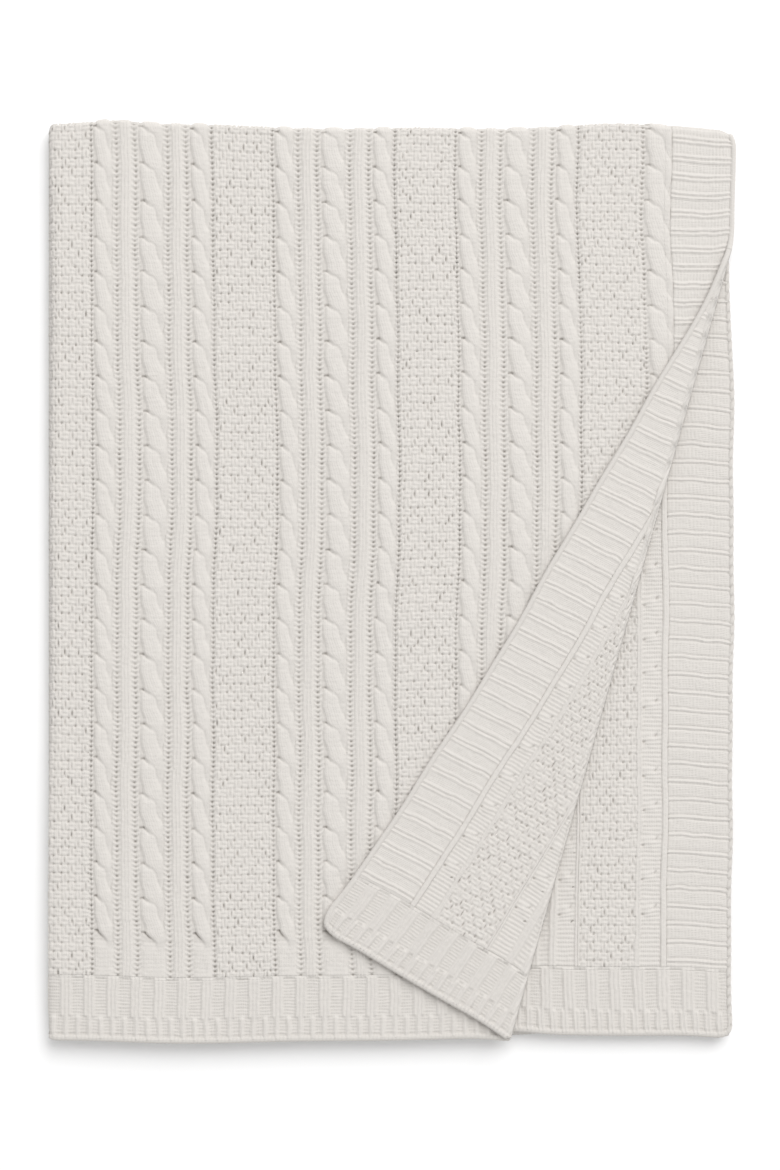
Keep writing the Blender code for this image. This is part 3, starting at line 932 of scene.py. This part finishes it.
def edge_ropes(leaf, prefix):
    """The two free edges of a leaf, from its folds to the corner where they meet, or the part of
    them that is past the crease."""
    side = FREE_SIDE[leaf] - CHAIN_WIDTH / 2
    end = FREE_END[leaf] + BIND_OFF / 2
    q_stops, p_stops = [unrolled_top(leaf), end], [unrolled_left(leaf), side]
    if leaf == "top":
        crossing_q = CREASE_AT.y - (side - CREASE_AT.x) * CREASE_OUT.x / CREASE_OUT.y
        crossing_p = CREASE_AT.x - (end - CREASE_AT.y) * CREASE_OUT.y / CREASE_OUT.x
        on_corner = prefix == "corner"
        q_stops[0 if on_corner else 1] = crossing_q
        p_stops[0 if on_corner else 1] = crossing_p
    q = np.linspace(*q_stops, math.ceil(abs(q_stops[1] - q_stops[0]) / ROPE_STEP))
    p = np.linspace(*p_stops, math.ceil(abs(p_stops[1] - p_stops[0]) / ROPE_STEP))
    chain_p, chain_q = np.full_like(q, side), q
    if q[-1] == end:  # the chain goes a little way round the corner, into the bound off edge
        turned = np.arange(1, 5) * 1.2 * MM
        chain_p = np.append(chain_p, side - turned)
        chain_q = np.append(chain_q, np.full_like(turned, end))
    half = LEAF_THICKNESS / 2 - 0.5 * MM
    edge = rolled if leaf == "top" else twisted
    chain = rope(f"{prefix}_edge_chain", leaf, chain_p, chain_q, CHAIN_WIDTH / 2 + 0.2 * MM, half, edge)
    bind = rope(f"{prefix}_bind_off", leaf, p, np.full_like(p, end), BIND_OFF / 2, half, bound_off)
    return [(chain, "edge_chain"), (bind, "bind_off")]


def flat_cut(leaf, on_corner, p_ends, q_ends):
    """The width, length and area of a region of a leaf, less what lies past the crease."""
    samples = 300
    p, q = np.meshgrid(np.linspace(*p_ends, samples), np.linspace(*q_ends, samples), indexing="ij")
    kept = np.ones_like(p, bool)
    if leaf == "top":
        kept = from_crease(p, q) * (1 if on_corner else -1) > LEAF_THICKNESS
    width, length = np.ptp(p[kept]), np.ptp(q[kept])
    return width, length, kept.mean() * (p_ends[1] - p_ends[0]) * (q_ends[1] - q_ends[0])


def node_names(leaf, prefix, kind):
    """The solids of the frame that a piece stands for."""
    if kind == "crease":
        return ["corner_crease_over" if prefix == "corner" else "corner_crease_under"]
    names = [f"{prefix}_{kind}" if prefix == "corner" else f"{leaf}_leaf_{kind}"]
    if prefix != "corner":
        pair = "lower" if leaf in ("bottom", "third") else "upper"
        if kind == "panel":
            names += [f"{pair}_top_fold_panel", f"{leaf}_leaf_left_fold"]
        if kind == "side_band":
            names.append(f"{pair}_top_fold_band")
    return names


def finish_piece(piece, leaf, prefix, kind):
    body = "corner" if prefix == "corner" else LEAF_BODY[leaf]
    if prefix == "corner":
        piece.data.transform(TURN_CORNER)
    piece.data.materials.append(YARN[SLOT_OF[kind]])
    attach(piece, body)
    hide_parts(*node_names(leaf, prefix, kind))
    return piece


def crease_sides(p_ends, q_ends):
    """Whether a region of the top leaf has any of itself on the leaf, and any on the corner."""
    distances = [from_crease(x, y) for x in p_ends for y in q_ends]
    return min(distances) < -LEAF_THICKNESS, max(distances) > LEAF_THICKNESS


def build_leaf(leaf, prefix, spacing):
    """Every piece of one leaf, or of the corner of the top leaf: {name: (piece, flat size)}."""
    on_corner = prefix == "corner"
    made = {}
    for name, kind, p_ends, q_ends in leaf_regions(leaf):
        crossed = False
        if leaf == "top":
            on_leaf, past = crease_sides(p_ends, q_ends)
            if on_corner:
                if not past:
                    continue
                p_ends = (max(p_ends[0], CORNER_LEFT), p_ends[1])
                q_ends = (q_ends[0], min(q_ends[1], CREASE_AT.y + 5 * MM))
            crossed = on_leaf and past
        both = on_corner or leaf == "second" and p_ends[1] > CORNER_LEFT
        front, back = leaf_face(leaf, False), leaf_face(leaf, True, plain=not both)
        step = 1 if both else 6
        piece = shell(f"{prefix}_{name}", front, back, p_ends, q_ends, spacing, step, RIGHT_SIDE_UP[leaf])
        if crossed:
            cut_at_crease(piece, on_corner)
        made[name] = (finish_piece(piece, leaf, prefix, kind), flat_cut(leaf, on_corner, p_ends, q_ends))
    for piece, kind in edge_ropes(leaf, prefix):
        made[kind] = (finish_piece(piece, leaf, prefix, kind), None)
    return made


def build_crease(sign, spacing):
    """Half of the rolled strip between the top leaf and its corner."""
    prefix = "corner" if sign > 0 else "top_leaf"
    ends = (0.0, CREASE_REACH) if sign > 0 else (-CREASE_REACH, 0.0)

    def along(face):
        return lambda s, q: face(s, q / CREASE_LENGTH)

    front, back = along(crease_face(False, sign)), along(crease_face(True, sign))
    piece = shell(f"{prefix}_crease", front, back, ends, (0.0, CREASE_LENGTH), spacing, 1, True)
    return finish_piece(piece, "top", prefix, "crease")


# The narrow pieces that go with each sheet
TRIM = {
    "side_band": ("side_seam", "edge_chain"),
    "end_band": ("end_seam", "bind_off"),
    "panel_basket_4": ("crease",),
}


def declare(made):
    """Goes through the pieces and skips the narrow ones listed in TRIM; nothing is done with the rest."""
    for name, (piece, cut) in made.items():
        if any(name in trim for trim in TRIM.values()):
            continue


def build_throw():
    detail = {"top": FINE, "second": FINE, "third": MEDIUM, "bottom": COARSE}
    for leaf in LEAVES:
        made = build_leaf(leaf, leaf + "_leaf", detail[leaf])
        if leaf == "top":
            made["crease"] = (build_crease(-1, FINE), None)
        declare(made)
    corner = build_leaf("top", "corner", FINE)
    corner["crease"] = (build_crease(1, FINE), None)
    declare(corner)


# ---------------------------------------------------------------- floor, light and camera
FRAME_HEIGHT = 1.1105  # what the picture takes in, top to bottom, at the throw
LENS = 85.0
LONG_SENSOR = 36.0
AIM = (-0.001, -0.0015)  # the throw lies this little off the middle of the picture


FLOOR_REACH = 20.0
FLOOR_GAP = 0.0005


def build_floor():
    floor_mesh = bpy.data.meshes.new("floor")
    corners = [(x * FLOOR_REACH, y * FLOOR_REACH, 0) for x, y in ((-1, -1), (1, -1), (1, 1), (-1, 1))]
    floor_mesh.from_pydata(corners, [], [(0, 1, 2, 3)])
    floor = bpy.data.objects.new("floor", floor_mesh)
    bpy.context.scene.collection.objects.link(floor)
    paper = bpy.data.materials.new("white_paper")
    paper.use_nodes = True
    shader = paper.node_tree.nodes["Principled BSDF"]
    shader.inputs["Base Color"].default_value = (0.97, 0.97, 0.97, 1)
    shader.inputs["Roughness"].default_value = 0.9
    shader.inputs["Specular IOR Level"].default_value = 0.1
    floor_mesh.materials.append(paper)
    floor.location.z = -FLOOR_GAP


def build_light():
    """Even light all round, and one large softbox up and to the right."""
    world = bpy.data.worlds.new("studio")
    world.use_nodes = True
    world.node_tree.nodes["Background"].inputs["Color"].default_value = (1, 1, 1, 1)
    world.node_tree.nodes["Background"].inputs["Strength"].default_value = 0.66
    bpy.context.scene.world = world

    place = Vector((3.2, 6.4, 8.3))
    data = bpy.data.lights.new("key", "AREA")
    data.shape = "SQUARE"
    data.size = 8.5
    data.energy = 930
    light = bpy.data.objects.new("key", data)
    light.location = place
    light.rotation_euler = (-place).to_track_quat("-Z", "Y").to_euler()
    bpy.context.scene.collection.objects.link(light)
    bpy.context.scene.view_settings.view_transform = "Standard"


def build_camera():
    data = bpy.data.cameras.new("camera")
    data.lens = LENS
    data.sensor_width = LONG_SENSOR
    camera = bpy.data.objects.new("camera", data)
    distance = FRAME_HEIGHT / 2 / (LONG_SENSOR / 2 / LENS)
    camera.location = (*AIM, distance + STACK_HEIGHT)
    bpy.context.scene.collection.objects.link(camera)
    bpy.context.scene.camera = camera


build_floor()
build_light()
build_camera()
build_throw()
